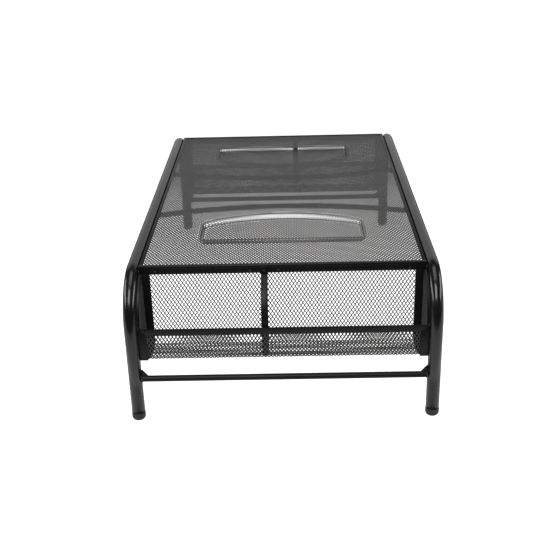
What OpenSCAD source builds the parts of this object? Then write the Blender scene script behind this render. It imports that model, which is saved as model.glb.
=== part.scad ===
// Monitor riser stand: two bent side tubes carry a pressed-mesh deck, with a divided mesh pocket at each end.
// Millimetres. +X runs along the stand, +Y to its rear, +Z up. Origin: on the desk, under the middle.
// Both end pockets are the same part, so the right one is the left one turned half a turn.

/* [Frame] */
// Overall length over the legs
frame_len = 508; // [440:1:620]
// Overall width over the two side tubes
frame_w = 292; // [240:1:360]
// Height of the top of the side tubes above the desk
frame_h = 145; // [120:1:180]
// Outside diameter of the side tubes
tube_d = 12.7; // [10.5:0.1:15.5]
// Wall thickness of the side tubes
tube_wall = 1.2; // [0.8:0.1:2]
// Centre-line radius of the bends in the side tubes
bend_r = 43.5; // [36:0.5:53]

/* [Feet] */
// Height of the part of a foot cap that shows below its tube
cap_head_h = 8; // [5:0.5:12]
// How much wider than the tube a foot cap is
cap_rim = 0.4; // [0:0.1:1]
// Radius of the round lower edge of a foot cap
cap_round = 3.5; // [2:0.5:4.5]
// Length of the plug inside the tube
cap_plug_len = 14; // [8:1:24]
// Radial clearance of the plug in the tube
cap_plug_gap = 0.1; // [0.05:0.05:0.3]

/* [Lower rails] */
// Diameter of the rail between the legs of each end
rail_d = 6; // [4:0.5:8]
// Distance of the rail's axis below the pocket floor
rail_drop = 19.5; // [12:0.5:26]
// Length of the two short sides of a gusset
gusset_leg = 6; // [4:0.5:10]
// Thickness of a gusset
gusset_t = 2.5; // [1.5:0.5:4]

/* [Deck] */
// Thickness of the expanded mesh
mesh_t = 1; // [0.8:0.1:1.5]
// Thickness of the folded hems
hem_t = 0.8; // [0.6:0.1:1.2]
// Distance of the deck's ends from the ends of the frame
deck_setback = 38.5; // [34:0.5:46]
// How far the mesh lies below the top of the tubes
deck_drop = 1.5; // [1:0.5:4]
// Width of a hem on top of the mesh
hem_w = 3.5; // [2.5:0.5:6]
// How much thinner the mesh is pressed where a hem grips it
hem_press = 0.2; // [0.1:0.1:0.4]
// Height of the end hem's face below the mesh
hem_face = 2.6; // [2:0.2:4]
// How far a side hem reaches below the axis of its tube
hem_lap = 0.5; // [0.2:0.1:2]

/* [Pressed trays] */
// Width of a tray across the deck
tray_w = 164; // [120:1:200]
// Length of a tray from its straight side to the crown of its bowed side
tray_len = 70; // [50:1:85]
// How far the bowed side stands out at its middle
tray_bow = 22; // [12:1:30]
// Depth of a tray
tray_depth = 4.3; // [3:0.1:8]
// Distance of a tray's straight side from the deck's end
tray_setback = 59; // [45:1:65]
// How far the pair of trays sits towards the right end
tray_shift = 7; // [0:1:10]

/* [Support rods] */
// Diameter of the bowed rods under the deck
rod_d = 5.5; // [4:0.5:7]
// Distance of a rod's ends from the end of the frame
rod_setback = 184; // [178:1:200]
// How far a rod bows towards the middle of the deck
rod_bow = 22; // [10:1:30]

/* [End pockets] */
// Depth of the pocket floor below the deck
pocket_h = 80.5; // [66:0.5:96]
// Thickness of the pocket's plain sheet trim
trim_t = 1.1; // [0.8:0.1:1.6]
// Fold radius of the basket
fold_r = 2; // [1.6:0.2:4]
// Height of the lip's top rail
lip_rail_h = 6.6; // [4:0.2:9]
// Width of the flanges at the lip's ends
lip_flange_w = 7.6; // [5:0.2:10]
// Width of the strips along the basket's side edges
side_strip_w = 7.6; // [5:0.2:10]
// Thickness of the hem along a side wall's curved edge
side_hem_t = 2.2; // [1.8:0.1:3]
// Width of that hem
side_hem_w = 3.5; // [2.5:0.5:5]
// How far the top rim reaches down over the ends of the side hems
rim_lap = 1.5; // [1:0.5:3]
// Distance of the divider from the middle of the pocket
divider_off = 16.6; // [0:0.2:60]
// Width of the divider's folded front edge
divider_edge_w = 6.5; // [4:0.5:9]
// Gap between pieces that lie side by side
fit_gap = 0.1; // [0.05:0.05:0.2]

/* [Welds] */
// Radius of a weld bead
bead_r = 0.9; // [0.6:0.1:1.4]
// Diameter of a spot weld
spot_d = 2.4; // [1.6:0.2:3.4]
// How far a spot weld stands out
spot_h = 0.5; // [0.3:0.1:0.8]

/* [Hidden] */
$fn = 64;

LEFT = -1;
RIGHT = 1;
FRONT = -1;
REAR = 1;
STEEL = [0.10, 0.10, 0.11];
MESH = [0.16, 0.16, 0.17];
CAP = [0.06, 0.06, 0.06];
WELD = [0.22, 0.22, 0.23];
past = 1;   // how far a cutting shape runs past what it cuts

// Side tubes: places along the frame are counted from the frame's end
tube_r = tube_d / 2;
tube_y = frame_w / 2 - tube_r;
flank_y = tube_y - tube_r;
top_z = frame_h - tube_r;
bend_x = tube_r + bend_r;
bend_z = top_z - bend_r;
leg_x = frame_len / 2 - tube_r;

// Deck
deck_top = frame_h - deck_drop;
deck_under = deck_top - mesh_t;
hem_under = deck_top - hem_press;
hem_top = hem_under + hem_t;
deck_half_len = frame_len / 2 - deck_setback;
mesh_half_len = deck_half_len - hem_t - fit_gap;
mesh_half_w = flank_y - hem_t - fit_gap;
open_half_len = deck_half_len - hem_w - fit_gap;
open_half_w = flank_y - hem_w - fit_gap;
tray_x = deck_half_len - tray_setback;
tray_r = (tray_w * tray_w / 4 + tray_bow * tray_bow) / (2 * tray_bow);

// Support rods
rod_z = deck_under - rod_d / 2;
rod_half = flank_y - hem_t;
rod_r = (rod_half * rod_half + rod_bow * rod_bow) / (2 * rod_bow);
rod_turn = asin(rod_half / rod_r);

// Pockets
pocket_z = deck_top - pocket_h;
lip_top = bend_z;
lip_x = tube_r - trim_t / 2;
basket_x0 = lip_x + trim_t + fit_gap;
basket_x1 = deck_setback + trim_t + fit_gap + mesh_t;
basket_y = flank_y - side_hem_t / 2 - mesh_t / 2 - fit_gap;
side_y = flank_y - side_hem_t / 2;
strip_y = flank_y - side_hem_t - fit_gap;
rim_top = hem_under - hem_face - fit_gap;
rim_z = bend_z + sqrt(pow(bend_r, 2) - pow(bend_x - deck_setback, 2)) - rim_lap;
edge_x = basket_x0 + mesh_t + fit_gap;
edge_r = bend_x - edge_x;
tab_x = deck_setback - fit_gap - trim_t;
rail_z = pocket_z - rail_drop;

// ---------- placing helpers ----------

// Puts a piece drawn at the left end, with X counted from the frame's end, at either end
module at_end(end) {
    rotate([0, 0, end == LEFT ? 0 : 180])
        translate([-frame_len / 2, 0, 0])
            children();
}

// The side that a piece is drawn on so that it ends up on the wanted side after the half turn
function drawn_side(end, side) = end == LEFT ? side : -side;

// Extrudes an outline in X and Z over a thickness t centred on y
module upright(y, t) {
    translate([0, y + t / 2, 0])
        rotate([90, 0, 0])
            linear_extrude(t)
                children();
}

// Extrudes an outline in Y and Z from x over a thickness t
module facing(x, t) {
    translate([x, 0, 0])
        rotate([90, 0, 90])
            linear_extrude(t)
                children();
}

// A box that runs evenly to both sides of the middle in Y
module centred(x, half_y, z, len, h) {
    translate([x, -half_y, z])
        cube([len, 2 * half_y, h]);
}

// ---------- tubes and feet ----------

// The whole path of a bent tube as a solid of diameter d, its legs reaching down to z
module tube_path(d, z) {
    run = leg_x - bend_r;
    translate([-run, 0, top_z])
        rotate([0, 90, 0])
            cylinder(d = d, h = 2 * run);
    for (end = [LEFT, RIGHT]) {
        translate([end * leg_x, 0, z])
            cylinder(d = d, h = bend_z - z);
        mirror([end == LEFT ? 0 : 1, 0, 0])
            translate([-run, 0, bend_z])
                rotate([90, 0, 0])
                    rotate([0, 0, 90])
                        rotate_extrude(angle = 90)
                            translate([bend_r, 0])
                                circle(d = d);
    }
}

module side_tube(side) {
    color(STEEL)
        translate([0, side * tube_y, 0])
            difference() {
                tube_path(tube_d, cap_head_h);
                tube_path(tube_d - 2 * tube_wall, cap_head_h - past);
            }
}

module foot_cap(end, side) {
    cap_r = (tube_d + cap_rim) / 2;
    color(CAP)
        translate([end * leg_x, side * tube_y, 0]) {
            rotate_extrude()
                intersection() {
                    square([cap_r, cap_head_h]);
                    union() {
                        square([cap_r - cap_round, cap_head_h]);
                        translate([0, cap_round])
                            square([cap_r, cap_head_h]);
                        translate([cap_r - cap_round, cap_round])
                            circle(cap_round);
                    }
                }
            translate([0, 0, cap_head_h])
                cylinder(r = tube_r - tube_wall - cap_plug_gap, h = cap_plug_len);
        }
}

// ---------- lower rails ----------

module leg_cutter(side) {
    translate([tube_r, side * tube_y, 0])
        cylinder(d = tube_d, h = frame_h);
}

module rail_body() {
    translate([tube_r, -tube_y, rail_z])
        rotate([-90, 0, 0])
            cylinder(d = rail_d, h = 2 * tube_y);
}

module lower_rail(end) {
    color(STEEL)
        at_end(end)
            difference() {
                rail_body();
                for (side = [FRONT, REAR])
                    leg_cutter(side);
            }
}

module gusset(end, side) {
    s = drawn_side(end, side);
    z = rail_z + rail_d / 2;
    color(STEEL)
        at_end(end)
            difference() {
                facing(tube_r - gusset_t / 2, gusset_t)
                    polygon([
                        [s * (flank_y - gusset_leg), z], [s * (flank_y - gusset_leg), z - past],
                        [s * (flank_y + past), z - past], [s * (flank_y + past), z + gusset_leg],
                        [s * flank_y, z + gusset_leg]
                    ]);
                rail_body();
                leg_cutter(s);
            }
}

// Fillet bead round each end of each lower rail, cut back to the rail, its leg and its gusset
module rail_welds() {
    color(WELD)
        for (end = [LEFT, RIGHT])
            at_end(end)
                for (side = [FRONT, REAR])
                    difference() {
                        translate([tube_r, side * flank_y, rail_z])
                            rotate([90, 0, 0])
                                rotate_extrude()
                                    translate([rail_d / 2, 0])
                                        circle(bead_r, $fn = 24);
                        rail_body();
                        leg_cutter(side);
                        translate([tube_r - gusset_t / 2 - fit_gap, side * flank_y - gusset_leg, rail_z])
                            cube([gusset_t + 2 * fit_gap, 2 * gusset_leg, rail_d]);
                    }
}

// ---------- deck ----------

// Outline of a tray: a rectangle whose inner long side is an arc; inset moves every side inwards
module tray_outline(inset) {
    intersection() {
        translate([0, -tray_w / 2 + inset])
            square([tray_len, tray_w - 2 * inset]);
        translate([inset, -tray_w / 2])
            square([tray_len, tray_w]);
        translate([tray_len - tray_r, 0])
            circle(tray_r - inset, $fn = 180);
    }
}

module tray_prism(end, inset, z0, z1) {
    translate([end * tray_x + tray_shift, 0, z0])
        mirror([end == LEFT ? 0 : 1, 0, 0])
            linear_extrude(z1 - z0)
                tray_outline(inset);
}

module deck_mesh() {
    tray_floor = deck_top - tray_depth;
    color(MESH)
        difference() {
            union() {
                translate([-mesh_half_len, -mesh_half_w, deck_under])
                    cube([2 * mesh_half_len, 2 * mesh_half_w, mesh_t - hem_press]);
                translate([-open_half_len, -open_half_w, deck_under])
                    cube([2 * open_half_len, 2 * open_half_w, mesh_t]);
                for (end = [LEFT, RIGHT])
                    tray_prism(end, 0, tray_floor - mesh_t, deck_top);
            }
            for (end = [LEFT, RIGHT])
                tray_prism(end, mesh_t, tray_floor, deck_top + past);
        }
}

// Strip folded over the mesh at each side and down the flank of the tube that it is welded to
module deck_side_hem(side) {
    half = deck_half_len - hem_w - fit_gap;
    color(STEEL)
        mirror([0, side == FRONT ? 1 : 0, 0])
            difference() {
                translate([-half, flank_y - hem_w, top_z - hem_lap])
                    cube([2 * half, hem_w, hem_top - top_z + hem_lap]);
                translate([-half - past, flank_y - hem_w - past, top_z - hem_lap - past])
                    cube([2 * (half + past), hem_w - hem_t + past, hem_under - top_z + hem_lap + past]);
            }
}

// Strip folded over the mesh at each end, with a short face
module deck_end_hem(end) {
    color(STEEL)
        at_end(end)
            difference() {
                centred(deck_setback, flank_y, hem_under - hem_face, hem_w, hem_face + hem_t);
                centred(deck_setback + hem_t, flank_y + past, hem_under - hem_face - past, hem_w, hem_face + past);
            }
}

// ---------- support rods ----------

module rod_body() {
    translate([rod_setback + rod_bow - rod_r, 0, rod_z])
        rotate([0, 0, -rod_turn])
            rotate_extrude(angle = 2 * rod_turn, $fn = 180)
                translate([rod_r, 0])
                    circle(d = rod_d, $fn = 32);
}

module support_rod(end) {
    color(STEEL)
        at_end(end)
            intersection() {
                rod_body();
                centred(0, rod_half, rod_z - rod_d, frame_len, 2 * rod_d);
            }
}

// Fillet bead round each end of each rod, on the inside of the side hem
module rod_welds() {
    color(WELD)
        for (end = [LEFT, RIGHT])
            at_end(end)
                for (side = [FRONT, REAR])
                    difference() {
                        translate([rod_setback, side * rod_half, rod_z])
                            rotate([90, 0, 0])
                                rotate_extrude()
                                    translate([rod_d / 2 + bead_r / 4, 0])
                                        circle(bead_r, $fn = 24);
                        rod_body();
                        translate([0, side == REAR ? rod_half : -frame_w, 0])
                            cube([frame_len, frame_w - rod_half, frame_h]);
                        translate([0, -frame_w / 2, deck_under - fit_gap])
                            cube([frame_len, frame_w, frame_h]);
                    }
}

// ---------- end pockets ----------

// Outline of the basket seen from the side, with round folds; inset moves its sides inwards
module basket_outline(inset) {
    r = max(fold_r - inset, fit_gap);
    x0 = basket_x0 + inset;
    x1 = basket_x1 - inset;
    z0 = pocket_z + inset;
    translate([x0 + r, z0])
        square([x1 - x0 - 2 * r, frame_h]);
    translate([x0, z0 + r])
        square([x1 - x0, frame_h]);
    for (x = [x0 + r, x1 - r])
        translate([x, z0 + r])
            circle(r, $fn = 32);
}

// Everything inside a curve that runs up at x, round the tube's bend and back over the pocket
module bend_outline(r) {
    translate([bend_x, bend_z])
        circle(r, $fn = 128);
    translate([bend_x - r, 0])
        square([2 * r, bend_z]);
}

// One sheet of mesh folded into a back wall, a floor and a front lip
module pocket_basket(end) {
    color(MESH)
        at_end(end)
            upright(0, 2 * basket_y)
                difference() {
                    basket_outline(0);
                    basket_outline(mesh_t);
                    translate([0, lip_top - trim_t - fit_gap])
                        square([basket_x1 - mesh_t, frame_h]);
                    translate([0, deck_under - fit_gap])
                        square([frame_len, 2 * frame_h]);
                }
}

module pocket_side(end, side) {
    color(MESH)
        at_end(end)
            upright(drawn_side(end, side) * side_y, mesh_t)
                intersection() {
                    basket_outline(0);
                    bend_outline(bend_r - side_hem_w / 3);
                    square([basket_x1, rim_z - fit_gap]);
                }
}

// Strip along a side edge of the basket, laid on its floor and up its back wall as far as the rim
module side_strip(end, side) {
    x0 = basket_x0 + fold_r;
    color(STEEL)
        at_end(end)
            upright(drawn_side(end, side) * (strip_y - side_strip_w / 2), side_strip_w)
                intersection() {
                    difference() {
                        basket_outline(mesh_t);
                        basket_outline(mesh_t + trim_t);
                    }
                    translate([x0, 0])
                        square([basket_x1, rim_z - fit_gap]);
                }
}

// Channel along the curved edge of a side wall, from the lip up to the rim
module side_hem(end, side) {
    y = drawn_side(end, side) * side_y;
    color(STEEL)
        at_end(end)
            difference() {
                upright(y, side_hem_t)
                    intersection() {
                        difference() {
                            bend_outline(bend_r);
                            bend_outline(bend_r - side_hem_w);
                        }
                        translate([0, lip_top + fit_gap])
                            square([deck_setback - fit_gap, frame_h]);
                    }
                upright(y, mesh_t + 2 * fit_gap)
                    bend_outline(bend_r - side_hem_w / 4);
            }
}

// Flat bar across the top of the back wall, under the deck's end hem
module pocket_rim(end) {
    color(STEEL)
        at_end(end)
            centred(deck_setback, flank_y, rim_z, trim_t, rim_top - rim_z);
}

// Rail along the lip's top edge, folded back over the mesh, its ends mitred to the flanges
module lip_rail(end) {
    color(STEEL)
        at_end(end) {
            facing(lip_x, trim_t)
                polygon([
                    [-flank_y, lip_top], [flank_y, lip_top],
                    [flank_y - lip_flange_w, lip_top - lip_rail_h], [lip_flange_w - flank_y, lip_top - lip_rail_h]
                ]);
            centred(lip_x + trim_t, basket_y, lip_top - trim_t, fit_gap + mesh_t, trim_t);
        }
}

module lip_flange(end, side) {
    s = drawn_side(end, side);
    color(STEEL)
        at_end(end)
            facing(lip_x, trim_t)
                polygon([
                    [s * flank_y, lip_top - 2 * fit_gap], [s * flank_y, pocket_z],
                    [s * (flank_y - lip_flange_w), pocket_z],
                    [s * (flank_y - lip_flange_w), lip_top - lip_rail_h - 2 * fit_gap]
                ]);
}

// Mesh web between the two compartments
module divider(end) {
    x0 = edge_x + trim_t + fit_gap;
    color(MESH)
        at_end(end)
            upright(divider_off, mesh_t)
                intersection() {
                    basket_outline(mesh_t + fit_gap);
                    translate([x0, 0])
                        square([frame_len, rim_z - fit_gap]);
                    bend_outline(edge_r - trim_t - fit_gap);
                }
}

// Folded front edge of the divider: up behind the lip, round to the rim, and a tab on the rim's face
module divider_edge(end) {
    z0 = pocket_z + fold_r + fit_gap;
    color(STEEL)
        at_end(end)
            upright(divider_off, divider_edge_w)
                union() {
                    intersection() {
                        difference() {
                            bend_outline(edge_r);
                            bend_outline(edge_r - trim_t);
                        }
                        translate([0, z0])
                            square([deck_setback - fit_gap, frame_h]);
                    }
                    translate([tab_x, rim_z - trim_t])
                        square([trim_t, hem_under - hem_t - rim_z + trim_t]);
                }
}

// One spot weld: a low twelve-sided button that stands on a face at x and points out of the frame's end
module spot(x, y, z) {
    translate([x, y, z])
        rotate([0, -90, 0])
            cylinder(d = spot_d, h = spot_h, $fn = 12);
}

// Spots that hold the rim and the divider's tab, and one by each end of the rim
module spot_welds() {
    rim_mid = (rim_z + rim_top) / 2;
    color(WELD)
        for (end = [LEFT, RIGHT])
            at_end(end) {
                spot(tab_x, divider_off, rim_mid);
                for (y = [divider_off - 2 * divider_edge_w, divider_off + 2 * divider_edge_w])
                    spot(deck_setback, y, rim_mid);
                for (side = [FRONT, REAR])
                    spot(deck_setback, side * (flank_y - 2 * lip_flange_w), rim_mid);
            }
}

// ---------- what is drawn ----------

side_tube(FRONT);  // front_tube
side_tube(REAR);  // rear_tube
foot_cap(LEFT, FRONT);  // foot_cap_front_left
foot_cap(LEFT, REAR);  // foot_cap_rear_left
foot_cap(RIGHT, FRONT);  // foot_cap_front_right
foot_cap(RIGHT, REAR);  // foot_cap_rear_right
lower_rail(LEFT);  // lower_rail_left
lower_rail(RIGHT);  // lower_rail_right
gusset(LEFT, FRONT);  // gusset_front_left
gusset(LEFT, REAR);  // gusset_rear_left
gusset(RIGHT, FRONT);  // gusset_front_right
gusset(RIGHT, REAR);  // gusset_rear_right
rail_welds();
rod_welds();
spot_welds();
deck_mesh();
deck_side_hem(FRONT);  // deck_hem_front
deck_side_hem(REAR);  // deck_hem_rear
deck_end_hem(LEFT);  // deck_hem_left
deck_end_hem(RIGHT);  // deck_hem_right
support_rod(LEFT);  // support_rod_left
support_rod(RIGHT);  // support_rod_right
pocket_basket(LEFT);  // pocket_basket_left
pocket_basket(RIGHT);  // pocket_basket_right
pocket_side(LEFT, FRONT);  // pocket_side_front_left
pocket_side(LEFT, REAR);  // pocket_side_rear_left
pocket_side(RIGHT, FRONT);  // pocket_side_front_right
pocket_side(RIGHT, REAR);  // pocket_side_rear_right
side_strip(LEFT, FRONT);  // side_strip_front_left
side_strip(LEFT, REAR);  // side_strip_rear_left
side_strip(RIGHT, FRONT);  // side_strip_front_right
side_strip(RIGHT, REAR);  // side_strip_rear_right
side_hem(LEFT, FRONT);  // side_hem_front_left
side_hem(LEFT, REAR);  // side_hem_rear_left
side_hem(RIGHT, FRONT);  // side_hem_front_right
side_hem(RIGHT, REAR);  // side_hem_rear_right
pocket_rim(LEFT);  // pocket_rim_left
pocket_rim(RIGHT);  // pocket_rim_right
lip_rail(LEFT);  // lip_rail_left
lip_rail(RIGHT);  // lip_rail_right
lip_flange(LEFT, FRONT);  // lip_flange_front_left
lip_flange(LEFT, REAR);  // lip_flange_rear_left
lip_flange(RIGHT, FRONT);  // lip_flange_front_right
lip_flange(RIGHT, REAR);  // lip_flange_rear_right
divider(LEFT);  // divider_left
divider(RIGHT);  // divider_right
divider_edge(LEFT);  // divider_edge_left
divider_edge(RIGHT);  // divider_edge_right
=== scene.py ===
import math

import bmesh
import bpy
from mathutils import Matrix, Vector


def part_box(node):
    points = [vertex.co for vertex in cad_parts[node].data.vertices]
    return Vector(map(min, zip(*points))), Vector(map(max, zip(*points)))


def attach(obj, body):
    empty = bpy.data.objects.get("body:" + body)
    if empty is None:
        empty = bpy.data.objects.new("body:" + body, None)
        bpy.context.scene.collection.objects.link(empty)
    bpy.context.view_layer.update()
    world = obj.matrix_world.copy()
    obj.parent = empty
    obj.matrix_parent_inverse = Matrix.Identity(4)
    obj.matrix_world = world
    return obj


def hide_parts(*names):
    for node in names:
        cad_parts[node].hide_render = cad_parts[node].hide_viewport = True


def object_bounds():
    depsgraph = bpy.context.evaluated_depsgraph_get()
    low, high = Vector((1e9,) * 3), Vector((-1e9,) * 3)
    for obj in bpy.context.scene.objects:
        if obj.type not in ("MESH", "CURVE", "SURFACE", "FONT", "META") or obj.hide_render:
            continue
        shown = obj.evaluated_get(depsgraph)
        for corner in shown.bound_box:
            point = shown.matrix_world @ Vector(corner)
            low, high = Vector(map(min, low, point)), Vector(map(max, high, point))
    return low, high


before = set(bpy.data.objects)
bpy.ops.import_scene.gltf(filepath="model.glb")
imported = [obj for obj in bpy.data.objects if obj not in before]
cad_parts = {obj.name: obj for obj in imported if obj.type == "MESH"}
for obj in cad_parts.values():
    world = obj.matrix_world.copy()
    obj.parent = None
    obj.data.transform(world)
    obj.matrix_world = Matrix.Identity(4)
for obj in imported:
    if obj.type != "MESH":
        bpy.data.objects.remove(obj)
cad_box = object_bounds()


# ---- Camera -------------------------------------------------------------------------------------
# A long lens on the stand's long axis, a metre out from its middle past the left end and half a
# metre above the desk. It looks along the stand and down on its deck, with a slight tilt.

CAMERA_PLACE = Vector((-1.0001, -0.0097, 0.4884))
CAMERA_HEADING = 0.021
CAMERA_DIP = 0.425
CAMERA_TILT = -0.027

camera_data = bpy.data.cameras.new("camera")
camera_data.lens = 60.76
camera_data.sensor_width = 36.0
camera_data.clip_start = 0.01
camera = bpy.data.objects.new("camera", camera_data)
camera.matrix_world = (
    Matrix.Translation(CAMERA_PLACE)
    @ Matrix.Rotation(CAMERA_HEADING - math.pi / 2, 4, "Z")
    @ Matrix.Rotation(math.pi / 2 - CAMERA_DIP, 4, "X")
    @ Matrix.Rotation(CAMERA_TILT, 4, "Z")
)
bpy.context.scene.collection.objects.link(camera)
bpy.context.scene.camera = camera


# ---- Side tubes ---------------------------------------------------------------------------------
# Each long side is one half-inch steel tube: a leg, a bend, the long top run, a bend and a leg.
# It is bent cold, welded to the rest and powder coated a semi-gloss black.

MM = 0.001
HAIR = 0.001 * MM         # points closer than this are one point
LEFT, RIGHT = -1, 1
FRONT, REAR = -1, 1
TUBE_WALL = 1.2 * MM
BEND_RADIUS = 43.5 * MM
TUBE_SIDES = 40
BEND_STEPS = 16
CREASE = 35               # degrees between two faces from which their edge stays sharp

tube_low, tube_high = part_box("rear_tube")
tube_d = tube_high.y - tube_low.y
tube_r = tube_d / 2
half_length = tube_high.x
leg_x = half_length - tube_r
tube_y = tube_high.y - tube_r
flank_y = tube_y - tube_r
tube_top_z = tube_high.z - tube_r
bend_z = tube_top_z - BEND_RADIUS
bend_x = tube_r + BEND_RADIUS    # counted from the frame's end


def only(kind, geometry):
    return [part for part in geometry if isinstance(part, kind)]


def pull(bm, edges, vector):
    """Extrudes edges by a vector and returns the edges at the new end."""
    grown = bmesh.ops.extrude_edge_only(bm, edges=edges)["geom"]
    verts = only(bmesh.types.BMVert, grown)
    bmesh.ops.translate(bm, verts=verts, vec=vector)
    reached = set(verts)
    return [edge for edge in only(bmesh.types.BMEdge, grown) if set(edge.verts) <= reached]


def turn(bm, edges, centre, axis, angle, steps):
    """Spins edges round an axis and returns the edges at the new end."""
    start = edges + list({vert for edge in edges for vert in edge.verts})
    made = bmesh.ops.spin(bm, geom=start, cent=centre, axis=axis, angle=angle, steps=steps)
    return only(bmesh.types.BMEdge, made["geom_last"])


def ring_of(bm, radius, sides, place, turned=Matrix()):
    made = bmesh.ops.create_circle(
        bm, segments=sides, radius=radius, matrix=Matrix.Translation(place) @ turned)
    return list({edge for vert in made["verts"] for edge in vert.link_edges})


def finished(name, bm, material, crease=CREASE, tidy=True):
    """Turns a bmesh into an object at the origin with smooth faces and creases at its sharp edges."""
    if tidy:
        bmesh.ops.recalc_face_normals(bm, faces=bm.faces)
    mesh = bpy.data.meshes.new(name)
    bm.to_mesh(mesh)
    bm.free()
    mesh.shade_smooth()
    mesh.set_sharp_from_angle(angle=math.radians(crease))
    mesh.materials.append(material)
    piece = bpy.data.objects.new(name, mesh)
    bpy.context.scene.collection.objects.link(piece)
    return piece


def thicken(piece, thickness, offset=0.0, even=True):
    wall = piece.modifiers.new("wall", "SOLIDIFY")
    wall.thickness = thickness
    wall.offset = offset
    wall.use_even_offset = even


def soften(piece, width, segments=2):
    edge = piece.modifiers.new("edge", "BEVEL")
    edge.width = width
    edge.segments = segments
    edge.limit_method = "ANGLE"
    edge.angle_limit = math.radians(40)
    edge.harden_normals = False


def shader_group(name, inputs, outputs):
    """A node group with float inputs, as name: value, and outputs, as name: socket type."""
    group = bpy.data.node_groups.new(name, "ShaderNodeTree")
    for label, value in inputs.items():
        socket = group.interface.new_socket(label, in_out="INPUT", socket_type="NodeSocketFloat")
        socket.default_value = value
    for label, kind in outputs.items():
        group.interface.new_socket(label, in_out="OUTPUT", socket_type=kind)
    return group, group.nodes.new("NodeGroupInput"), group.nodes.new("NodeGroupOutput")


def add(tree, kind, **values):
    """Adds a node: names that are its properties are set on it, all others on its inputs."""
    node = tree.nodes.new(kind)
    for label, value in values.items():
        if hasattr(node, label):
            setattr(node, label, value)
        else:
            node.inputs[label.replace("_", " ")].default_value = value
    return node


def orange_peel_group():
    """Powder coat that flowed out unevenly: fine ripples, and slow drifts in gloss and shade."""
    group, given, out = shader_group(
        "orange_peel", {"Ripple": 1.1 * MM, "Drift": 40 * MM},
        {"Height": "NodeSocketFloat", "Drifting": "NodeSocketFloat", "Speckle": "NodeSocketFloat"})
    link = group.links.new
    where = add(group, "ShaderNodeTexCoord")
    for size, detail, output in (("Ripple", 2.0, "Height"), ("Drift", 4.0, "Drifting")):
        scale = add(group, "ShaderNodeMath", operation="DIVIDE")
        scale.inputs[0].default_value = 1.0
        noise = add(group, "ShaderNodeTexNoise", Detail=detail, Roughness=0.55)
        link(given.outputs[size], scale.inputs[1])
        link(where.outputs["Object"], noise.inputs["Vector"])
        link(scale.outputs[0], noise.inputs["Scale"])
        link(noise.outputs["Fac"], out.inputs[output])
    speck = add(group, "ShaderNodeTexNoise", Scale=2600.0, Detail=1.0)
    sharp = add(group, "ShaderNodeMapRange", From_Min=0.6, From_Max=0.75)
    link(where.outputs["Object"], speck.inputs["Vector"])
    link(speck.outputs["Fac"], sharp.inputs["Value"])
    link(sharp.outputs["Result"], out.inputs["Speckle"])
    return group


def rubbed_edge_group():
    """Where the coat is rubbed thin: along edges, broken up so that the wear comes and goes."""
    group, given, out = shader_group("rubbed_edge", {"Reach": 0.5 * MM}, {"Mask": "NodeSocketFloat"})
    link = group.links.new
    rounded = add(group, "ShaderNodeBevel", samples=4)
    here = add(group, "ShaderNodeNewGeometry")
    agree = add(group, "ShaderNodeVectorMath", operation="DOT_PRODUCT")
    edge = add(group, "ShaderNodeMapRange", From_Min=0.985, From_Max=0.86)
    where = add(group, "ShaderNodeTexCoord")
    patch = add(group, "ShaderNodeTexNoise", Scale=90.0, Detail=6.0, Roughness=0.7)
    broken = add(group, "ShaderNodeMapRange", From_Min=0.48, From_Max=0.66)
    both = add(group, "ShaderNodeMath", operation="MULTIPLY")
    link(given.outputs["Reach"], rounded.inputs["Radius"])
    link(rounded.outputs["Normal"], agree.inputs[0])
    link(here.outputs["Normal"], agree.inputs[1])
    link(agree.outputs["Value"], edge.inputs["Value"])
    link(where.outputs["Object"], patch.inputs["Vector"])
    link(patch.outputs["Fac"], broken.inputs["Value"])
    link(edge.outputs["Result"], both.inputs[0])
    link(broken.outputs["Result"], both.inputs[1])
    link(both.outputs["Value"], out.inputs["Mask"])
    return group


ORANGE_PEEL = orange_peel_group()
RUBBED_EDGE = rubbed_edge_group()


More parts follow.
